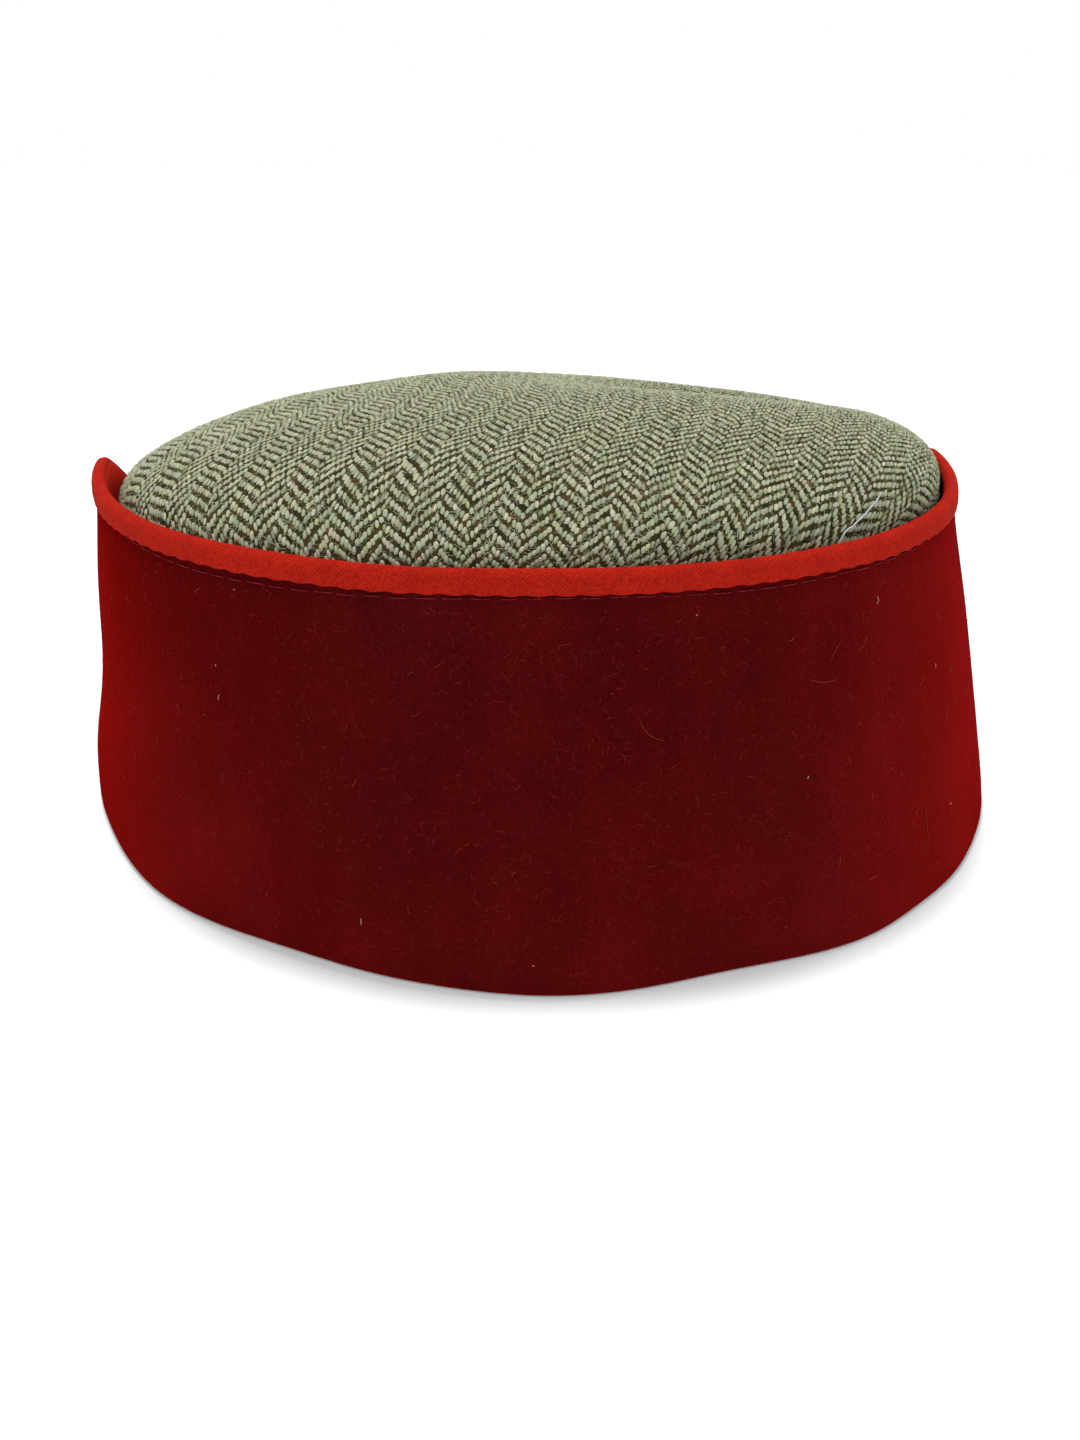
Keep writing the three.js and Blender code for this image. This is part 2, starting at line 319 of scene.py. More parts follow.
# Cotton lining inside the crown: thin plain cloth, dull brown and matt, with a faint weave and soft
# creases. Its threads are drawn at 0.8 mm, coarser than real ones, so that they show.
lining = new_material("cotton_lining_brown")
place = node(lining, "TexCoord")
threads = node(lining, "TexNoise", {"Vector": place.outputs["Object"], "Scale": 1000 / 0.8, "Detail": 2.0})
creases = node(lining, "TexNoise", {"Vector": place.outputs["Object"], "Scale": 1000 / 18, "Detail": 3.0})
worn = node(lining, "Math", {0: creases.outputs["Fac"], 1: 0.3, 2: threads.outputs["Fac"]},
            operation="MULTIPLY_ADD")
lining_colour = node(lining, "ValToRGB", {"Fac": worn.outputs["Value"]}, stops=(
    (0.4, "#4c3d2e"), (0.95, "#746049")))
bump = node(lining, "Bump", {"Height": worn.outputs["Value"], "Strength": 0.4, "Distance": 0.0004})
shader = node(lining, "BsdfPrincipled", {
    "Base Color": lining_colour.outputs["Color"], "Roughness": 0.9, "Specular IOR Level": 0.15,
    "Normal": bump.outputs["Normal"]})
crown.data.materials.append(finish_material(lining, shader))
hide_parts("crown")
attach(crown, "root")


# The light warp of the tweed: undyed wool yarn that rises over two wefts and dives under two, seven yarns
# one way and seven the other, which makes the herringbone. Its ribs are cut where they turn and set off
# by half a rib. Each rise is a small grain of yarn.
stripe_turn = np.radians(8.4)
stripe_pair = 9.58
yarns_in_stripe = 7
yarn_pitch = stripe_pair / (2 * yarns_in_stripe)
weft_pitch = 0.85
rib_wefts = 4
stripe_start = 0.56 - stripe_pair / 4
# The cloth of the top is stretched over its puffed front, and its stripes fan and bend towards the back
front_stretch = {"along": -58, "span": 9.5, "across": -10, "width": 30, "amount": 3.9}
front_line = -54
bend_reach = 40
stripe_fan = 0.0015
stripe_bend = 0.0026
stripe_bow = 0.0004
# In front the cloth is eased in along the seam round the top, which draws its threads closer together. By
# 60 mm from the seam it lies as it was woven.
easing = {"share": 0.55, "reach": 9.0, "spread": 36}
settled = 60
from_seam = np.linspace(-6, 130, 600)
eased_in = np.cumsum(np.gradient(from_seam) / (1 - easing["share"] * bell(from_seam, easing["reach"])))
eased_in = eased_in - np.interp(settled, from_seam, eased_in) + settled
float_height = 0.27
grain_half_width = 0.45
grain_half_length = 1.24 * weft_pitch
# How unevenly the yarn is spun and laid: ranges of a grain's size as shares, its slant in degrees, and how
# far it strays across and along in millimetres
uneven = {"width": (0.85, 1.15), "length": (0.84, 1.16), "height": (0.7, 1.25), "slant": 7}
astray = (0.05, 0.08)
# How deep the sides and ends of a grain are sunk, and what makes up its tone and painted shade, 0 dark, 1
# pale
sunk = {"sides": 0.06, "ends": 0.08}
# top is painted light on each grain's crest; sides and ends are painted shade down its sides and ends
grain_tone_and_painted_shade = {"mean": 0.52, "spread": 0.14, "drift": 0.16, "top": 0.16, "sides": 0.42, "ends": 0.20}
# Share of a grain's run over the seam or the rim that is left after the cloth is turned in there
seam_tuck = 0.1
# Thick pale places in the hand-spun yarn as (across the stripes, along them)
slub_places = ((-13.5, -55.2), (32.4, -69.7), (41.0, -59.5), (39.2, -64.6))
slub = {"reach": 1.3, "growth": 0.45, "paleness": 0.12}
yarn_dice = np.random.default_rng(41)
along_steps = np.array([-1.0, -0.55, 0.0, 0.55, 1.0])
across_steps = np.array([-1.0, 0.0, 1.0])


def herringbone(low, high, bottom, top):
    """Middles of the grains, and their yarn's number, on cloth from low to high and bottom to top."""
    first = int(np.floor((low - stripe_start) / yarn_pitch))
    last = int(np.ceil((high - stripe_start) / yarn_pitch))
    rib = rib_wefts * weft_pitch
    middles = []
    for yarn in range(first, last):
        place = yarn % (2 * yarns_in_stripe)
        step = place if place < yarns_in_stripe else 2 * yarns_in_stripe + 1 - place
        v = np.arange(np.floor(bottom / rib), np.ceil(top / rib)) * rib_wefts + step
        u = np.full(len(v), stripe_start + (yarn + 0.5) * yarn_pitch)
        middles.append(np.stack([u, v * weft_pitch, np.full(len(v), float(yarn))], -1))
    return np.concatenate(middles)


def give_value(made, name, values):
    """A named number for each point, which a material can read."""
    made.data.attributes.new(name, "FLOAT", "POINT").data.foreach_set("value", np.ravel(values))


def many_grids(number, columns, rows):
    """Faces of a number of like grids, one after the other."""
    one = np.array(grid_faces(columns, rows))
    return (one[None] + (np.arange(number) * columns * rows)[:, None, None]).reshape(-1, 4).tolist()


def lay_grains(name, grains, on_cloth):
    """One piece of yarn grains; on_cloth gives points and normals for places on the cloth."""
    number = len(grains)
    at_u, at_v, yarn = grains.T
    swollen = sum(bell(np.hypot(at_u - u, at_v - v), slub["reach"]) for u, v in slub_places)
    width = grain_half_width * yarn_dice.uniform(*uneven["width"], number) * (1 + slub["growth"] * swollen)
    length = grain_half_length * yarn_dice.uniform(*uneven["length"], number)
    height = float_height * yarn_dice.uniform(*uneven["height"], number) * (1 + slub["growth"] * swollen)
    slant = np.radians(yarn_dice.normal(0, uneven["slant"], number))
    shift = yarn_dice.normal(0, 1, (number, 2)) * astray
    t, a = np.meshgrid(along_steps, across_steps, indexing="ij")
    t = t.ravel()
    a = a.ravel()
    # A grain narrows towards its ends
    du = width[:, None] * a * (1 - 0.30 * t ** 4)
    dv = length[:, None] * t * (1 - 0.08 * a ** 2)
    # Slow waves: the yarn wanders sideways and the weft sags, each by less than 0.2 mm
    wander = 0.08 * np.sin(at_v / 2.7 + 1.9 * yarn) + 0.07 * np.sin(at_v / 6.3 - yarn)
    sag = 0.08 * np.sin(at_u / 2.3 + at_v / 9.7) + 0.08 * np.sin(at_u / 5.1 - at_v / 4.3)
    shift = shift + np.stack([wander, sag], -1)
    u = grains[:, :1] + shift[:, :1] + du * np.cos(slant)[:, None] - dv * np.sin(slant)[:, None]
    v = grains[:, 1:2] + shift[:, 1:] + du * np.sin(slant)[:, None] + dv * np.cos(slant)[:, None]
    # Crowned across and along, with its sides and ends sunk between the wefts
    lift = height[:, None] * (1 - np.abs(a)) * (1 - t ** 4) ** 0.5
    lift = lift - sunk["sides"] * np.abs(a) - sunk["ends"] * t ** 6
    face, out = on_cloth(u, v)
    points = face + out * lift[..., None]
    made = make_piece(name, points, many_grids(number, len(along_steps), len(across_steps)))
    # The tone drifts slowly along each yarn. Each grain is painted lighter on its crest and darker down its
    # sides and ends: painted light and shade.
    slow = np.sin(at_v / 3.1 + 5 * np.sin(yarn)) * np.sin(at_v / 7.7 + yarn)
    tone = yarn_dice.normal(grain_tone_and_painted_shade["mean"], grain_tone_and_painted_shade["spread"], number)
    tone = tone + grain_tone_and_painted_shade["drift"] * slow + slub["paleness"] * swollen
    tones_and_painted_shade = tone[:, None] + grain_tone_and_painted_shade["top"] - grain_tone_and_painted_shade["sides"] * np.abs(a) - grain_tone_and_painted_shade["ends"] * t ** 4
    tones_and_painted_shade = np.clip(tones_and_painted_shade, 0, 1)
    give_value(made, "yarn_tone_and_painted_shade", tones_and_painted_shade)
    return made


def top_place(u, v):
    """Bearing and run of cloth for places on the round top."""
    heart_u = (heart[0] - origin[0]) * np.cos(stripe_turn) - (heart[1] - origin[1]) * np.sin(stripe_turn)
    across = u - heart_u
    along = v
    # Each pull depends on the place that it leads to, so the place is found step by step
    for _ in range(8):
        behind = bend_reach * np.tanh((along - front_line) / bend_reach)
        pulled = front_stretch["amount"] * bell(across - front_stretch["across"], front_stretch["width"])
        along = v + pulled * np.tanh((along - front_stretch["along"]) / front_stretch["span"])
        fanned = (stripe_fan * across + stripe_bend * behind) * behind
        across = u - heart_u + fanned - stripe_bow * across ** 2
    x = across * np.cos(stripe_turn) + along * np.sin(stripe_turn)
    y = along * np.cos(stripe_turn) - across * np.sin(stripe_turn)
    bearing = np.degrees(np.arctan2(x, -y))
    full = to_shoulder(bearing)
    to_go = full - np.hypot(x, y)
    drawn = bell(bearing, easing["spread"]) * (np.interp(to_go, eased_in, from_seam) - to_go)
    return bearing, np.maximum(0, full - to_go - drawn)


def on_top(u, v):
    """Places on the round top, whose cloth is laid flat round its middle."""
    bearing, run = top_place(u, v)
    seam = to_shoulder(bearing) + seam_drop
    run = np.where(run > seam, seam + seam_tuck * (run - seam), run)
    out = crown_normal(bearing, run)
    return crown_point(bearing, run) - out * seam_groove(bearing, run)[..., None], out


# Undyed warp: soft cream wool with greenish and pinkish beige fibres, matt, each grain a little different
# because the yarn is spun by hand. The blend changes every 2 mm or so, and the fibres are drawn at
# 0.35 mm, coarser than real ones, so that they show.
warp = new_material("woollen_warp_cream")
# The warp's tones carry painted light on each grain's crest and painted shade down its sides and ends
tone = node(warp, "Attribute", attribute_name="yarn_tone_and_painted_shade")
warp_colour = node(warp, "ValToRGB", {"Fac": tone.outputs["Fac"]}, stops=(
    (0.0, "#565745"), (1.0, "#b6b499"), (0.25, "#7d8167"), (0.5, "#979b80"), (0.72, "#a4a289")))
place = node(warp, "TexCoord")
blend = node(warp, "TexNoise", {"Vector": place.outputs["Object"], "Scale": 1000 / 2.0, "Detail": 1.0})
parts = node(warp, "SeparateColor", {"Color": blend.outputs["Color"]})
hue = node(warp, "MapRange", {
    "Value": parts.outputs["Red"], "From Min": 0.3, "From Max": 0.7, "To Min": 0.465, "To Max": 0.555})
depth = node(warp, "MapRange", {
    "Value": parts.outputs["Green"], "From Min": 0.3, "From Max": 0.7, "To Min": 0.72, "To Max": 1.26})
blended = node(warp, "HueSaturation", {
    "Color": warp_colour.outputs["Color"], "Hue": hue.outputs["Result"],
    "Saturation": depth.outputs["Result"]})
fibre = node(warp, "TexNoise", {"Vector": place.outputs["Object"], "Scale": 1000 / 0.35, "Detail": 2.0})
bump = node(warp, "Bump", {"Height": fibre.outputs["Fac"], "Strength": 0.5, "Distance": 0.0002})
shader = node(warp, "BsdfPrincipled", {
    "Base Color": blended.outputs["Color"], "Roughness": 0.95, "Specular IOR Level": 0.1,
    "Normal": bump.outputs["Normal"]})
finish_material(warp, shader)

# Within this bearing the band hides the seam, so the grains end sooner past the shoulder
hidden_seam = 84
past_shoulder = {"hidden": 1.5, "shown": seam_drop + 1.0}
top_reach = 120
top_grains = herringbone(-top_reach, top_reach, -top_reach, top_reach)
bearing, run = top_place(top_grains[:, 0], top_grains[:, 1])
seam_hidden = np.abs(bearing) < hidden_seam
last_run = to_shoulder(bearing) + np.where(seam_hidden, past_shoulder["hidden"], past_shoulder["shown"])
top_warp = lay_grains("crown_top_warp", top_grains[run < last_run], on_top)
top_warp.data.materials.append(warp)
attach(top_warp, "root")


# The wall's warp shows only behind, between the ends of the band. The wall is a strip of the same tweed
# with its stripes upright.
band_foot = {"left": -136, "right": 140}
band_shoulder = {"left": -86, "right": 96}
end_fall = {"start": 1.25, "finish": 1.5}
end_edge_height = 5
# How far the band's top edge stands above band_height, by bearing
rise_at = (-180, -86, -72, -50, 0, 50, 76, 96, 180)
rise = (2.9, 2.9, 0.7, 0.0, 0.2, -0.2, 0.5, 3.2, 3.2)
# Millimetres of cloth round the wall in a degree
wall_degree = 1.64
wall_half = 90 * wall_degree
rim_fold = 0.3


def band_edge(bearing):
    """Height of the band's edge; past its shoulders it falls in a round sweep to the rim."""
    bearing = np.asarray(bearing, float)
    full_height = band_height + eased(bearing, rise_at, rise, reach=6)
    shoulder = np.where(bearing < 0, band_shoulder["left"], band_shoulder["right"])
    foot = np.where(bearing < 0, band_foot["left"], band_foot["right"])
    past = np.clip((bearing - shoulder) / (foot - shoulder), 0, 1)
    fall = (1 - past ** end_fall["start"]) ** (1 / end_fall["finish"])
    return np.where(past > 0, np.maximum(end_edge_height, full_height * fall), full_height)


def on_wall(u, v):
    """Places on the wall, counted from the middle of its back and up from the rim."""
    bearing = 180 + u / wall_degree
    v = np.where(v > seam_height, seam_height + seam_tuck * (v - seam_height), v)
    v = np.where(v < rim_fold, rim_fold + seam_tuck * (v - rim_fold), v)
    run = to_shoulder(bearing) + shoulder_height - v
    out = crown_normal(bearing, run)
    return crown_point(bearing, run) - out * seam_groove(bearing, run)[..., None], out


def shows_behind(places, margin):
    """Which places on the wall lie outside the band, or above its edge by a margin."""
    bearing = apart(180 + places[:, 0] / wall_degree, 0)
    behind_band = (bearing > band_foot["left"]) & (bearing < band_foot["right"])
    return ~behind_band | (places[:, 1] > band_edge(bearing) + margin)


# The grains run on a little behind the band's edge and into the seam and the rim
behind_edge = 6
tucked_in = 1.0
below_rim = 4
wall_grains = herringbone(-wall_half, wall_half, -below_rim, shoulder_height)
shows = shows_behind(wall_grains, -behind_edge)
inside_wall = (wall_grains[:, 1] > rim_fold - tucked_in) & (wall_grains[:, 1] < seam_height + tucked_in)
wall_warp = lay_grains("crown_wall_warp", wall_grains[shows & inside_wall], on_wall)
wall_warp.data.materials.append(warp)
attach(wall_warp, "root")


# Fuzz of the tweed: fine loose wool fibres that stand off the yarns and veil the dark lines of the weave.
# Each is a thin ribbon in a shallow arch with both ends in the cloth. It is 0.07 mm wide, coarser than a
# real fibre, so that it shows.
fuzz_dice = np.random.default_rng(19)
fuzz_count = {"top": 18000, "wall": 5000}
tweed_fuzz = {"width": 0.07, "halves": (0.5, 1.5), "arches": (0.25, 0.60)}
fibre_steps = 4
fibre_curl = 0.45
fibre_root = 0.05
fibre_tone = {"mean": 0.6, "spread": 0.25}


def lay_fuzz(name, places, on_cloth, width, halves, arches):
    """One piece of short bent fibres round the given places on the cloth."""
    number = len(places)
    t = np.linspace(-1, 1, fibre_steps)[None, :, None]
    side = np.array([-1.0, 1.0])[None, None, :]
    half = fuzz_dice.uniform(*halves, number)[:, None, None]
    turn = fuzz_dice.uniform(0, 2 * np.pi, number)[:, None, None]
    bend = fuzz_dice.normal(0, fibre_curl, number)[:, None, None] * half * t ** 2 + side * width / 2
    arch = fuzz_dice.uniform(*arches, number)[:, None, None] * (1 - t ** 2) - fibre_root + 0 * side
    u = places[:, :1, None] + half * t * np.cos(turn) - bend * np.sin(turn)
    v = places[:, 1:2, None] + half * t * np.sin(turn) + bend * np.cos(turn)
    face, out = on_cloth(u.reshape(number, -1), v.reshape(number, -1))
    points = face + out * arch.reshape(number, -1, 1)
    made = make_piece(name, points, many_grids(number, fibre_steps, 2))
    tone = np.clip(fuzz_dice.normal(fibre_tone["mean"], fibre_tone["spread"], number), 0, 1)
    give_value(made, "yarn_tone_and_painted_shade", np.repeat(tone, 2 * fibre_steps))
    return made


# Fibres keep clear of the seam, and on the wall of the rim and the band's edge too
clear_of_seam = 2.0
clear_of_rim = 2.5
clear_of_band = 2
fuzz_reach = 112
places = fuzz_dice.uniform(-fuzz_reach, fuzz_reach, (3 * fuzz_count["top"], 2))
bearing, run = top_place(places[:, 0], places[:, 1])
on_show = places[run < to_shoulder(bearing) + seam_drop - clear_of_seam][:fuzz_count["top"]]
top_fuzz = lay_fuzz("crown_top_fuzz", on_show, on_top, **tweed_fuzz)
top_fuzz.data.materials.append(warp)
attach(top_fuzz, "root")

places = np.stack([fuzz_dice.uniform(-wall_half, wall_half, fuzz_count["wall"]),
                   fuzz_dice.uniform(clear_of_rim, seam_height - clear_of_seam, fuzz_count["wall"])], -1)
on_show = places[shows_behind(places, clear_of_band)]
wall_fuzz = lay_fuzz("crown_wall_fuzz", on_show, on_wall, **tweed_fuzz)
wall_fuzz.data.materials.append(warp)
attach(wall_fuzz, "root")


# The band is a strip of cotton velvet on a stiff backing, turned under at the rim and wrapped round the
# front and sides of the crown. Its ends sweep down to the rim behind.
turned_edge = {"height": 1.6, "flat": 0.5}
end_stand_off = {"distance": 1.2, "from": 78, "to": 112}
band_columns = 460
end_columns = 70
band_rows = 46
stitch_pitch = 4.3
tape_leg = {"outer": 2.35, "inner": 9.0}
# How far the row of stitches runs below the tape, by bearing
seam_at = (-60, -47, -40, -30, -20, -10, 0, 12, 24, 36, 48, 64)
seam_drops = (0.45, 1.1, 1.5, 1.45, 1.05, 0.7, 0.5, 0.5, 0.95, 0.95, 0.8, 0.5)
# The seam draws a hollow into the velvet, and each stitch a small pucker below it
seam_hollow = {"depth": 0.55, "below": 0.15, "span": 0.55}
puckers = {"depth": 0.07, "below": 1.0, "span": 2.2}


def stitch_drop(bearing):
    """How far below the tape the stitches run."""
    return eased(bearing, seam_at, seam_drops, reach=4)


def ditch(bearing, below_tape):
    """Depth of the hollow that the seam draws into the velvet between the tape and the stitches."""
    drop = stitch_drop(bearing)
    from_middle = below_tape - seam_hollow["below"] - drop / 2
    return seam_hollow["depth"] * bell(from_middle, seam_hollow["span"] + drop / 2)


def mid_face(bearing, z):
    """The middle of the band's cloth, which stands a little further off the crown towards its ends."""
    stretch = end_stand_off["to"] - end_stand_off["from"]
    past = np.clip((np.abs(bearing) - end_stand_off["from"]) / stretch, 0, 1)
    inside = band_thickness / 2 - end_stand_off["distance"] * past * past * (3 - 2 * past)
    return wall_point(bearing, z, inside, inside)


def unit(vectors):
    return vectors / np.linalg.norm(vectors, axis=-1, keepdims=True)


def outward(bearing, z):
    """The level direction off the band's face."""
    along = mid_face(bearing + 0.5, z) - mid_face(bearing - 0.5, z)
    return unit(np.stack([along[..., 1], -along[..., 0], np.zeros(along.shape[:-1])], -1))


def facing(bearing, z):
    """The direction square to the band's face."""
    along = mid_face(bearing + 0.5, z) - mid_face(bearing - 0.5, z)
    up = mid_face(bearing, z + 0.5) - mid_face(bearing, z - 0.5)
    return unit(np.cross(along, up))


def band_bearings(columns, at_ends):
    """Bearings along the band, closer together down its swept ends."""
    end = (np.arange(at_ends) / at_ends) ** 1.5
    left = band_foot["left"] + (band_shoulder["left"] - band_foot["left"]) * end
    right = band_foot["right"] + (band_shoulder["right"] - band_foot["right"]) * end
    middle = np.linspace(band_shoulder["left"], band_shoulder["right"], columns - 2 * at_ends + 1)
    return np.r_[left, middle, right[::-1]]


def sheet_faces(columns, rows):
    """Faces of a sheet with two sides: its outer grid, its inner grid and the strips round its edges."""
    count = columns * rows
    last = count - rows
    faces = grid_faces(columns, rows) + grid_faces(columns, rows, count, False, True)
    for a in range(0, last, rows):
        b = a + rows
        faces.append((count + a, count + b, b, a))
        faces.append((a + rows - 1, b + rows - 1, count + b + rows - 1, count + a + rows - 1))
    for j in range(rows - 1):
        faces.append((count + j, j, j + 1, count + j + 1))
        faces.append((last + j, count + last + j, count + last + j + 1, last + j + 1))
    return faces


edge_bearings = band_bearings(columns=1200, at_ends=240)
edge_points = mid_face(edge_bearings, band_edge(edge_bearings))
edge_path = np.r_[0, np.cumsum(np.linalg.norm(np.diff(edge_points, axis=0), axis=1))]
flat_path = np.r_[0, np.cumsum(np.linalg.norm(np.diff(edge_points[:, :2], axis=0), axis=1))]

columns_at = band_bearings(band_columns, end_columns)
edge_here = band_edge(columns_at)
slope = np.gradient(edge_here) / np.gradient(np.interp(columns_at, edge_bearings, flat_path))
# Rows stand closer together towards the top edge
row_shares = np.linspace(0, 1, band_rows) ** 0.8
fold = turned_edge["height"]
heights = np.stack([np.r_[0, fold / 3, fold + (edge - fold) * row_shares] for edge in edge_here])
bearing_grid = np.broadcast_to(columns_at[:, None], heights.shape)
low = np.clip(heights / fold, 0, 1)
rounded = turned_edge["flat"] + (1 - turned_edge["flat"]) * np.sqrt(1 - (1 - low) ** 2)
half = band_thickness / 2 * rounded
below_edge = (edge_here[:, None] - heights) / np.sqrt(1 + slope[:, None] ** 2)
stitch_line = tape_leg["outer"] + stitch_drop(columns_at)[:, None]
path_here = np.interp(columns_at, edge_bearings, edge_path)[:, None]
below_stitches = below_edge - stitch_line - puckers["below"]
pucker = np.cos(2 * np.pi * path_here / stitch_pitch) * bell(below_stitches, puckers["span"])
relief = -ditch(columns_at[:, None], below_edge - tape_leg["outer"]) - puckers["depth"] * pucker
out = outward(bearing_grid, heights)
outer = mid_face(bearing_grid, heights) + out * (half + relief)[..., None]
inner = mid_face(bearing_grid, heights) - out * band_thickness / 2
columns, rows = heights.shape
points = np.concatenate([outer.reshape(-1, 3), inner.reshape(-1, 3)])
faces = sheet_faces(columns, rows)
band = make_piece("front_band", points, faces)
# The inner grid is the velvet's woven back
one_side = (columns - 1) * (rows - 1)
on_back = np.zeros(len(faces), np.int32)
on_back[one_side:2 * one_side] = 1
band.data.polygons.foreach_set("material_index", on_back)

# Patches of brushed pile and painted light as (bearing, height, span in bearing, span in height, gain)
# Painted light makes the pile lighter towards the right and along the rim and darker towards the left,
# standing in for its sheen
nap_and_painted_light_patches = (
    (-60, 62, 24, 20, -0.56), (-76, 14, 14, 24, -0.62), (-40, 16, 8, 12, 0.35), (-10, 62, 8, 10, 0.36),
    (8, 34, 12, 28, -0.20), (38, 24, 20, 30, 0.33), (20, 2, 45, 7, 0.30), (66, 60, 12, 12, 0.50),
    (67, 26, 13, 30, 0.50),
)
# Brightness of the pile from its brushing and its painted light
nap_and_painted_light = np.ones(heights.shape)
for where, height, span, span_height, gain in nap_and_painted_light_patches:
    nap_and_painted_light = nap_and_painted_light + gain * bell(apart(bearing_grid, where), span) * bell(heights - height, span_height)
give_value(band, "nap_and_painted_light", [nap_and_painted_light, nap_and_painted_light])

# Cotton velvet: a short upright pile that swallows light seen straight on and glows red seen edge on,
# with cloudy patches where it has been brushed the other way. Its tufts are drawn at 0.5 mm, coarser than
# real ones, so that they show.
velvet = new_material("cotton_velvet_red")
place = node(velvet, "TexCoord")
clouds = node(velvet, "TexNoise", {"Vector": place.outputs["Object"], "Scale": 1000 / 26, "Detail": 3.0})
tufts = node(velvet, "TexNoise", {"Vector": place.outputs["Object"], "Scale": 1000 / 0.5, "Detail": 3.0})
brushed = node(velvet, "MapRange", {
    "Value": clouds.outputs["Fac"], "From Min": 0.35, "From Max": 0.65, "To Min": 0.24, "To Max": 0.76})
speckled = node(velvet, "MapRange", {
    "Value": tufts.outputs["Fac"], "From Min": 0.3, "From Max": 0.7, "To Min": -0.40, "To Max": 0.40})
both = node(velvet, "Math", {0: brushed.outputs["Result"], 1: speckled.outputs["Result"]}, operation="ADD")
velvet_colour = node(velvet, "ValToRGB", {"Fac": both.outputs["Value"]}, stops=(
    (0.0, "#2a0607"), (1.0, "#48090a"), (0.5, "#390708")))
upright = node(velvet, "Mapping", {"Vector": place.outputs["Object"], "Scale": (1.0, 1.0, 0.3)})
streaks = node(velvet, "TexNoise", {"Vector": upright.outputs["Vector"], "Scale": 1000 / 14, "Detail": 4.0})
stroked = node(velvet, "MapRange", {
    "Value": streaks.outputs["Fac"], "From Min": 0.35, "From Max": 0.65, "To Min": 0.86, "To Max": 1.14})
# Brushed pile and painted light scale the pile's colour
brushing_and_painted_light = node(velvet, "Attribute", attribute_name="nap_and_painted_light")
shade = node(velvet, "Math", {0: stroked.outputs["Result"], 1: brushing_and_painted_light.outputs["Fac"]},
             operation="MULTIPLY")
pile_colour = node(velvet, "VectorMath", {
    0: velvet_colour.outputs["Color"], "Scale": shade.outputs["Value"]}, operation="SCALE")
bump = node(velvet, "Bump", {"Height": tufts.outputs["Fac"], "Strength": 0.5, "Distance": 0.0003})
shader = node(velvet, "BsdfPrincipled", {
    "Base Color": pile_colour.outputs["Vector"], "Roughness": 0.9, "Specular IOR Level": 0.0,
    "Sheen Weight": 0.635, "Sheen Roughness": 0.62, "Sheen Tint": linear("#b10f0a"),
    "Normal": bump.outputs["Normal"]})
band.data.materials.append(finish_material(velvet, shader))

# Velvet's woven back: flat cotton ground, dull and a little more orange than the pile. Its weave is drawn
# at 0.5 mm, coarser than a real one, so that it shows.
ground = new_material("velvet_ground_weave")
place = node(ground, "TexCoord")
weave = node(ground, "TexNoise", {"Vector": place.outputs["Object"], "Scale": 1000 / 0.5, "Detail": 2.0})
ground_colour = node(ground, "ValToRGB", {"Fac": weave.outputs["Fac"]}, stops=(
    (0.3, "#8e1610"), (0.7, "#b82a1c")))
shader = node(ground, "BsdfPrincipled", {
    "Base Color": ground_colour.outputs["Color"], "Roughness": 0.9, "Specular IOR Level": 0.15})
band.data.materials.append(finish_material(ground, shader))
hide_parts("front_band")
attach(band, "root")


# The binding is a bias tape of plain cotton, folded over the band's edge and caught by the seam below it.
# It is puffed along its length, and its lower edge dips a little at each stitch.
tape_thickness = 0.6
tape_foot_lift = 0.6
# Its unevenness: the dip and lift of its lower edge at each stitch, and how far its slow wandering moves
# that edge and swells the fold
tape_wave = {"dip": 0.12, "lift": 0.05, "stray": 0.5, "swell": 0.06}
line_bearing = band_bearings(columns=620, at_ends=130)
line_height = band_edge(line_bearing)
line_bearing = np.r_[line_bearing[0], line_bearing, line_bearing[-1]]
line_height = np.r_[tape_foot_lift, line_height, tape_foot_lift]
line_path = np.interp(line_bearing, edge_bearings, edge_path)
degree_length = half_width[0] * np.pi / 180
run_across = unit(np.stack([np.gradient(line_bearing) * degree_length, np.gradient(line_height)], -1))
off_edge = np.stack([-run_across[:, 1], run_across[:, 0]], -1)


def beside_edge(distance, across):
    """Points off the band's edge by a distance up its face and across its thickness."""
    bearing = line_bearing + off_edge[:, 0] * distance / degree_length
    z = np.maximum(tape_foot_lift, line_height + off_edge[:, 1] * distance)
    return mid_face(bearing, z) + facing(bearing, z) * np.reshape(across, (-1, 1))


inner_rows = 4
inner_tuck = 0.3
# Painted light and shade on the inner leg by bearing, from 0, painted shade, to 1, painted light
leg_painted_light_at = (-70, -40, 55, 75)
leg_painted_lights = (1.0, 0.5, 0.5, 0.0)
ripple = np.cos(2 * np.pi * line_path / stitch_pitch)
# Slow waves along the tape
wander = 0.10 * np.sin(line_path / 9.1) + 0.07 * np.sin(line_path / 3.7 + 1.0)


def tape_section(radius, tuck, slim):
    """One face of the tape, from the foot of its outer leg over the edge to the foot of its inner leg."""
    outer_leg = tape_leg["outer"] + tape_wave["dip"] * ripple + tape_wave["stray"] * wander
    ones = np.ones(len(line_path))
    legs = [beside_edge(-outer_leg * s, (radius - tuck * s ** 3) * ones + tape_wave["lift"] * ripple * s)
            for s in (1.0, 0.85, 0.6, 0.3, 0.0)]
    swell = radius + tape_wave["swell"] * wander
    caps = [beside_edge(swell * np.sin(a), swell * np.cos(a) - slim * min(0, np.cos(a)))
            for a in np.radians((22, 45, 68, 90, 112, 135, 158))]
    back = [beside_edge(-tape_leg["inner"] * s * ones, -(radius - slim - inner_tuck * tuck * s ** 2) * ones)
            for s in np.linspace(0, 1, inner_rows)]
    return np.stack(legs + caps + back, 1)


def give_uv(made, name, places):
    """A UV map from one pair of millimetres for each point."""
    layer = made.data.uv_layers.new(name=name)
    corners = np.zeros(len(made.data.loops), np.int32)
    made.data.loops.foreach_get("vertex_index", corners)
    layer.uv.foreach_set("vector", np.asarray(places, np.float32).reshape(-1, 2)[corners].ravel())


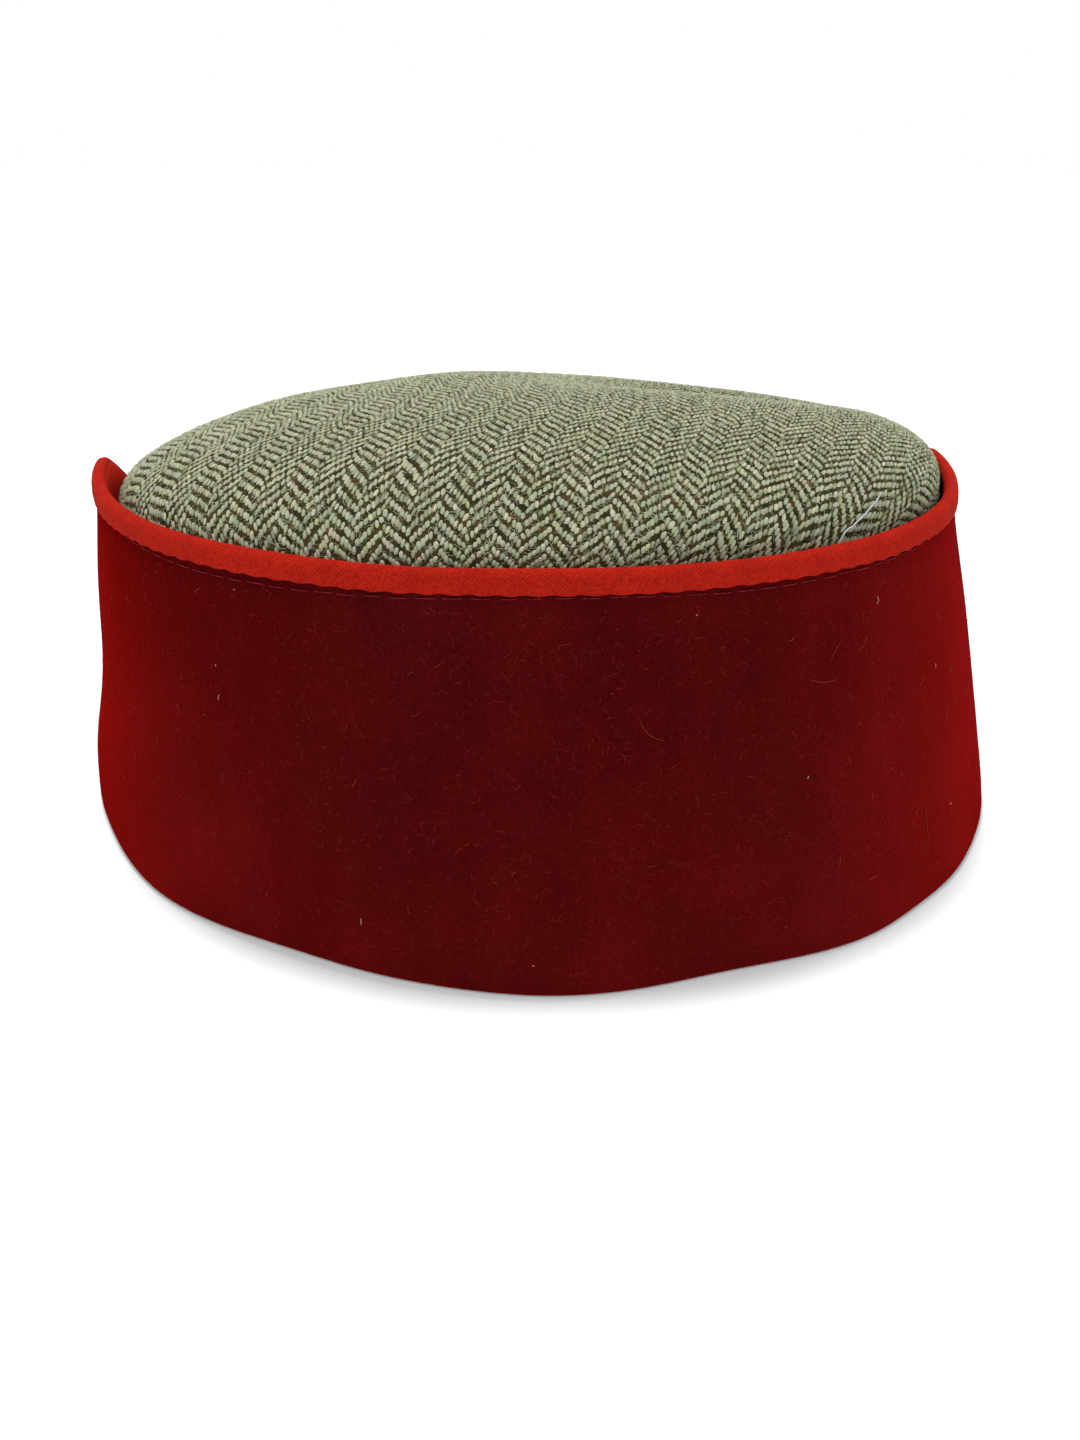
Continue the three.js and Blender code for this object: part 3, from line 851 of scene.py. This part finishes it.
tape_half = band_thickness / 2 + seat_gap
outer = tape_section(tape_half + tape_thickness, tuck=0.42, slim=0.65)
inner = tape_section(tape_half, tuck=0.10, slim=0.25)
columns, rows = outer.shape[:2]
points = np.concatenate([outer.reshape(-1, 3), inner.reshape(-1, 3)])
faces = sheet_faces(columns, rows)
tape = make_piece("binding", points, faces)
inner_leg = np.zeros((columns - 1, rows - 1), np.int32)
inner_leg[:, -inner_rows:] = 1
other_faces = np.zeros(len(faces) - inner_leg.size, np.int32)
tape.data.polygons.foreach_set("material_index", np.r_[inner_leg.ravel(), other_faces])
# Painted light and shade along the inner leg
leg_painted_light = np.repeat(np.interp(line_bearing, leg_painted_light_at, leg_painted_lights), rows)
give_value(tape, "leg_painted_light", [leg_painted_light, leg_painted_light])
around = np.r_[0, np.cumsum(np.linalg.norm(np.diff(outer[columns // 2], axis=0), axis=1))]
tape_uv = np.stack(np.broadcast_arrays(line_path[:, None], around[None, :]), -1).reshape(-1, 2)
give_uv(tape, "Cloth", np.concatenate([tape_uv, tape_uv]))

# Plain cotton cut on the bias: orange-red, matt, with its threads showing as fine slanting lines.
# The threads are drawn at 0.5 mm, coarser than real ones, so that they show.
cotton = new_material("cotton_bias_tape_orange_red")
cloth = node(cotton, "UVMap", uv_map="Cloth")
turned = node(cotton, "Mapping", {"Vector": cloth.outputs["UV"], "Rotation": (0, 0, np.radians(48))})
threads = node(cotton, "TexWave", {
    "Vector": turned.outputs["Vector"], "Scale": 2 * np.pi / 20 / 0.5, "Distortion": 1.2, "Detail": 2.0,
    "Detail Scale": 1.5})
place = node(cotton, "TexCoord")
wear = node(cotton, "TexNoise", {"Vector": place.outputs["Object"], "Scale": 1000 / 5, "Detail": 4.0})
slubs = node(cotton, "TexNoise", {"Vector": place.outputs["Object"], "Scale": 1000 / 0.5, "Detail": 2.0})
mixed = node(cotton, "Math", {0: threads.outputs["Fac"], 1: 0.25, 2: slubs.outputs["Fac"]},
             operation="MULTIPLY_ADD")
mixed = node(cotton, "Math", {0: wear.outputs["Fac"], 1: 0.5, 2: mixed.outputs["Value"]},
             operation="MULTIPLY_ADD")
mixed = node(cotton, "MapRange", {"Value": mixed.outputs["Value"], "From Min": 0.55, "From Max": 1.2})
cotton_colour = node(cotton, "ValToRGB", {"Fac": mixed.outputs["Result"]}, stops=(
    (0.0, "#84150d"), (1.0, "#b22513"), (0.5, "#9b1b10")))
bump = node(cotton, "Bump", {"Height": threads.outputs["Fac"], "Strength": 0.35, "Distance": 0.0002})
shader = node(cotton, "BsdfPrincipled", {
    "Base Color": cotton_colour.outputs["Color"], "Roughness": 0.95, "Specular IOR Level": 0.02,
    "Normal": bump.outputs["Normal"]})
tape.data.materials.append(finish_material(cotton, shader))

# The same tape on its inner leg, painted bright at the left end as light and dark at the right as shade.
leg = new_material("cotton_bias_tape_inner_leg_painted_light")
tone = node(leg, "Attribute", attribute_name="leg_painted_light")
place = node(leg, "TexCoord")
wear = node(leg, "TexNoise", {"Vector": place.outputs["Object"], "Scale": 1000 / 2, "Detail": 4.0})
mixed = node(leg, "Math", {0: wear.outputs["Fac"], 1: -0.5}, operation="ADD")
mixed = node(leg, "Math", {0: mixed.outputs["Value"], 1: 0.4, 2: tone.outputs["Fac"]},
             operation="MULTIPLY_ADD")
leg_colour = node(leg, "ValToRGB", {"Fac": mixed.outputs["Value"]}, stops=(
    (0.0, "#2c0705"), (1.0, "#e02813"), (0.5, "#9b1b10")))
shader = node(leg, "BsdfPrincipled", {
    "Base Color": leg_colour.outputs["Color"], "Roughness": 0.95, "Specular IOR Level": 0.02})
tape.data.materials.append(finish_material(leg, shader))
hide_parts("binding")
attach(tape, "root")


# The seam under the tape: one row of machine stitches in dark red thread, each lying in the ditch beside
# the tape and diving through the velvet at its ends.
thread_radius = 0.10
thread_sides = 6
# The row starts and stops short of the band's feet. Ends of a stitch are shares of the pitch.
row_margin = {"left": 6.0, "right": 8.0}
stitch_reach = (0.05, 0.94)
stitch_stray = {"ends": 0.03, "line": 0.06}
stitch_lift = {"middle": 0.27, "dive": 0.45}
stitch_taper = 0.3
lowest_stitch = 0.4


def tube(path, radius):
    """Points and faces of a thin closed tube along a path, with one radius or one for each point of it."""
    path = np.asarray(path, float)
    forward = unit(np.gradient(path, axis=0))
    side = unit(np.cross(forward, np.where(np.abs(forward[:, 2:]) > 0.9, (1.0, 0, 0), (0, 0, 1.0))))
    top = np.cross(side, forward)
    turn = 2 * np.pi * np.arange(thread_sides) / thread_sides
    ring = side[:, None] * np.cos(turn)[None, :, None] + top[:, None] * np.sin(turn)[None, :, None]
    points = path[:, None] + ring * np.reshape(radius, (-1, 1, 1))
    number = len(path)
    faces = [(i * thread_sides + j, i * thread_sides + (j + 1) % thread_sides,
              (i + 1) * thread_sides + (j + 1) % thread_sides, (i + 1) * thread_sides + j)
             for i in range(number - 1) for j in range(thread_sides)]
    faces.append(tuple(range(thread_sides))[::-1])
    faces.append(tuple(range((number - 1) * thread_sides, number * thread_sides)))
    return points.reshape(-1, 3), faces


def join_tubes(name, tubes):
    """One piece from many tubes."""
    points = []
    faces = []
    start = 0
    for places, corners in tubes:
        points.append(places)
        faces += [tuple(c + start for c in corner) for corner in corners]
        start += len(places)
    return make_piece(name, np.concatenate(points), faces)


stitch_dice = np.random.default_rng(7)
stitches = []
stations = np.linspace(0, 1, 9)
off_middle = np.abs(2 * stations - 1)
for first in np.arange(row_margin["left"], edge_path[-1] - row_margin["right"], stitch_pitch):
    reach = np.array(stitch_reach) + stitch_dice.normal(0, stitch_stray["ends"], 2)
    along = first + stitch_pitch * (reach[0] + (reach[1] - reach[0]) * stations)
    bearing = np.interp(along, edge_path, edge_bearings)
    edge = band_edge(bearing)
    tilt = np.gradient(edge) / np.maximum(np.gradient(np.interp(bearing, edge_bearings, flat_path)), 1e-6)
    seam = stitch_drop(bearing)
    line = tape_leg["outer"] + seam + stitch_dice.normal(0, stitch_stray["line"])
    z = np.maximum(edge - line * np.sqrt(1 + tilt ** 2), lowest_stitch)
    proud = stitch_lift["middle"] - stitch_lift["dive"] * off_middle ** 5
    lift = band_thickness / 2 - ditch(bearing, seam) + proud
    path = mid_face(bearing, z) + facing(bearing, z) * lift[:, None]
    stitches.append(tube(path, thread_radius * (1 - stitch_taper * off_middle ** 4)))
stitching = join_tubes("band_stitching", stitches)

# Twisted cotton sewing thread: matt dark red, a little pinker in patches, which are painted highlights where
# its plies stand out.
sewing = new_material("cotton_thread_dark_red")
place = node(sewing, "TexCoord")
ply = node(sewing, "TexNoise", {"Vector": place.outputs["Object"], "Scale": 1000 / 0.6, "Detail": 2.0})
sewing_colour = node(sewing, "ValToRGB", {"Fac": ply.outputs["Fac"]}, stops=(
    (0.3, "#520c12"), (0.7, "#8c2630")))
shader = node(sewing, "BsdfPrincipled", {
    "Base Color": sewing_colour.outputs["Color"], "Roughness": 0.8, "Specular IOR Level": 0.04})
stitching.data.materials.append(finish_material(sewing, shader))
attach(stitching, "root")


# Lint on the velvet: a few pale specks and many faint hairs that the pile has caught, each a bent fibre
# lying in the pile.
lint_dice = np.random.default_rng(23)
lint_count = 700
long_hairs = 14
lint_bearings = (-128, 132)
lint_heights = (3, 62)
hair_heights = (8, 58)
hair_halves = (1.5, 3.5)
shortest_half = 0.12
bright_tone = 0.75
hair_tone = 0.35
palest_short = 0.5
lint_lift = band_thickness / 2 + 0.02
lint_arch = 0.10
lint_radius = {"least": 0.022, "by_tone": 0.045}
lint_bend = {"least": 0.18, "by_half": 0.1}
lint_taper = 0.5
clear_of_tape = 4.5
# The brightest specks as (bearing, height, half length, turn off the level)
bright_lint = (
    (56.0, 14.5, 0.35, 20), (45.7, 57.2, 0.65, 75), (-36.2, 42.5, 0.5, 80), (56.6, 41.5, 0.35, 80),
    (-17.9, 9.3, 0.65, 85), (30.5, 31.1, 0.25, 60), (-0.7, 5.4, 0.2, 30), (-34.4, 61.2, 0.2, 10),
    (19.4, 60.2, 0.2, 45), (-36.8, 47.8, 0.2, 90),
)
# Each fibre as (bearing, height, half length, turn, tone); most are short and faint
fibres = [(bearing, height, half, np.radians(turn), bright_tone)
          for bearing, height, half, turn in bright_lint]
fibres += [(lint_dice.uniform(*lint_bearings), lint_dice.uniform(*hair_heights),
            lint_dice.uniform(*hair_halves), lint_dice.uniform(0, np.pi), hair_tone)
           for _ in range(long_hairs)]
fibres += [(lint_dice.uniform(*lint_bearings), lint_dice.uniform(*lint_heights),
            shortest_half + lint_dice.uniform(0, 1) ** 3, lint_dice.uniform(0, np.pi),
            palest_short * lint_dice.uniform(0, 1) ** 1.5)
           for _ in range(lint_count)]
hairs = []
lint_tones = []
stations = np.linspace(-1, 1, 8)
for bearing, height, half, turn, tone in fibres:
    bend = lint_dice.normal(0, lint_bend["least"] + lint_bend["by_half"] * half) * half
    if height > band_edge(bearing) - clear_of_tape:
        continue
    degree = np.linalg.norm(mid_face(bearing + 0.5, height) - mid_face(bearing - 0.5, height))
    round_to = bearing + (half * stations * np.cos(turn) - bend * stations ** 2 * np.sin(turn)) / degree
    z = height + half * stations * np.sin(turn) + bend * stations ** 2 * np.cos(turn)
    lift = lint_lift + lint_arch * (1 - stations ** 2)
    path = mid_face(round_to, z) + facing(round_to, z) * lift[:, None]
    radius = lint_radius["least"] + lint_radius["by_tone"] * tone
    hairs.append(tube(path, radius * (1 - lint_taper * stations ** 4)))
    lint_tones.append(np.full(len(hairs[-1][0]), tone))
lint = join_tubes("velvet_lint", hairs)
give_value(lint, "lint_tone", np.concatenate(lint_tones))

# Stray fibres: mostly red ones shed by the velvet, with some whitish wool and cotton.
shed = new_material("stray_fibres")
tone = node(shed, "Attribute", attribute_name="lint_tone")
place = node(shed, "TexCoord")
mottle = node(shed, "TexNoise", {"Vector": place.outputs["Object"], "Scale": 1000 / 0.5})
patchy = node(shed, "Math", {0: mottle.outputs["Fac"], 1: -0.5}, operation="ADD")
patchy = node(shed, "Math", {0: patchy.outputs["Value"], 1: 0.3, 2: tone.outputs["Fac"]},
              operation="MULTIPLY_ADD")
shed_colour = node(shed, "ValToRGB", {"Fac": patchy.outputs["Value"]}, stops=(
    (0.0, "#641410"), (1.0, "#d8c4b2"), (0.5, "#943c2c")))
shader = node(shed, "BsdfPrincipled", {
    "Base Color": shed_colour.outputs["Color"], "Roughness": 0.9, "Specular IOR Level": 0.1})
lint.data.materials.append(finish_material(shed, shader))
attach(lint, "root")


# Fuzz of the velvet: short ends of pile fibre that have worked loose and lie over the pile, dark where
# they are matted down and pale where they catch the light.
pile_fuzz = {"width": 0.03, "halves": (0.3, 1.1), "arches": (0.06, 0.14)}
pile_fuzz_count = 12000
pile_fuzz_bearings = {"left": -130, "right": 134}
lowest_fuzz = 2.0
left_end = pile_fuzz_bearings["left"] * wall_degree
right_end = pile_fuzz_bearings["right"] * wall_degree
places = np.stack([fuzz_dice.uniform(left_end, right_end, pile_fuzz_count),
                   fuzz_dice.uniform(lowest_fuzz, band_height, pile_fuzz_count)], -1)


def on_band(u, v):
    """Places on the band's outer face, counted from the middle of its front and up from the rim."""
    bearing = u / wall_degree
    out = facing(bearing, v)
    return mid_face(bearing, v) + out * band_thickness / 2, out


clear = places[places[:, 1] < band_edge(places[:, 0] / wall_degree) - clear_of_tape]
velvet_fuzz = lay_fuzz("velvet_fuzz", clear, on_band, **pile_fuzz)

# Loose pile fibres: the velvet's own cotton, from nearly black red to a pinkish red.
pile_end = new_material("cotton_pile_fibres")
tone = node(pile_end, "Attribute", attribute_name="yarn_tone_and_painted_shade")
pile_end_colour = node(pile_end, "ValToRGB", {"Fac": tone.outputs["Fac"]}, stops=(
    (0.0, "#1c0304"), (1.0, "#963233"), (0.5, "#560e0e")))
shader = node(pile_end, "BsdfPrincipled", {
    "Base Color": pile_end_colour.outputs["Color"], "Roughness": 0.9, "Specular IOR Level": 0.05})
velvet_fuzz.data.materials.append(finish_material(pile_end, shader))
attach(velvet_fuzz, "root")


# A loose end of pale cotton thread, some 17 mm long, lies on the tweed at the front right. It isn't sewn
# there, and its lower end goes down just behind the tape.
loose_places = ((49.4, -64.2), (50.8, -62.7), (52.0, -61.6), (53.6, -59.9), (55.7, -57.3), (57.3, -55.0),
                (59.1, -51.7))
loose_radius = 0.13
loose_wave = {"height": 0.15, "turn": 2.1}
away = np.array(loose_places) - heart
loose_bearing = np.degrees(np.arctan2(away[:, 0], -away[:, 1]))
loose_share = np.hypot(away[:, 0], away[:, 1]) / brow_radius(loose_bearing)
loose_run = np.interp(loose_share, share_steps, cloth_run) * brow_radius(loose_bearing) / mean_radius
steps = np.linspace(0, len(loose_places) - 1, 26)
marks = np.arange(len(loose_places))
loose_bearing = eased(steps, marks, loose_bearing, reach=0.5)
loose_run = eased(steps, marks, loose_run, reach=0.5)
lift = float_height + loose_radius + loose_wave["height"] * np.sin(steps * loose_wave["turn"]) ** 2
path = crown_point(loose_bearing, loose_run) + crown_normal(loose_bearing, loose_run) * lift[:, None]
taper = 1 - 0.4 * np.abs(2 * steps / steps[-1] - 1) ** 6
loose = join_tubes("loose_thread", [tube(path, loose_radius * taper)])

# Bleached cotton thread: bluish white, matt, with darker patches painted in as shade of the hollows between
# its two plies.
bleached = new_material("cotton_thread_bleached")
place = node(bleached, "TexCoord")
ply = node(bleached, "TexNoise", {"Vector": place.outputs["Object"], "Scale": 1000 / 0.5, "Detail": 2.0})
bleached_colour = node(bleached, "ValToRGB", {"Fac": ply.outputs["Fac"]}, stops=(
    (0.3, "#8e989c"), (0.7, "#d2d8d8")))
shader = node(bleached, "BsdfPrincipled", {
    "Base Color": bleached_colour.outputs["Color"], "Roughness": 0.8, "Specular IOR Level": 0.2})
loose.data.materials.append(finish_material(bleached, shader))
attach(loose, "root")


# The floor is a plain white table top, a hair below the rim, that reaches far past the view. The light is a
# white room and one lamp far overhead, nine degrees across, which gives the shadow its soft edge.
floor_half = 12.0
floor_drop = 0.0002
floor_mesh = bpy.data.meshes.new("floor")
sides = ((-1, -1), (1, -1), (1, 1), (-1, 1))
corners = [(x * floor_half, y * floor_half, -floor_drop) for x, y in sides]
floor_mesh.from_pydata(corners, [], [(0, 1, 2, 3)])
floor = bpy.data.objects.new("floor", floor_mesh)
bpy.context.scene.collection.objects.link(floor)
table_top = new_material("white_table_top")
shader = node(table_top, "BsdfPrincipled", {
    "Base Color": linear("#eef3f3"), "Roughness": 0.9, "Specular IOR Level": 0.1})
floor.data.materials.append(finish_material(table_top, shader))

world = bpy.data.worlds.new("white_room")
world.use_nodes = True
world.node_tree.nodes["Background"].inputs["Color"].default_value = (1, 1, 1, 1)
world.node_tree.nodes["Background"].inputs["Strength"].default_value = 1.0
bpy.context.scene.world = world

lamp = bpy.data.objects.new("lamp_overhead", bpy.data.lights.new("lamp_overhead", "SUN"))
lamp.data.angle = np.radians(9)
lamp.data.energy = 2.0
lamp.rotation_euler = (np.radians(-12.3), np.radians(-5.2), 0)
bpy.context.scene.collection.objects.link(lamp)
bpy.context.scene.view_settings.view_transform = "Standard"
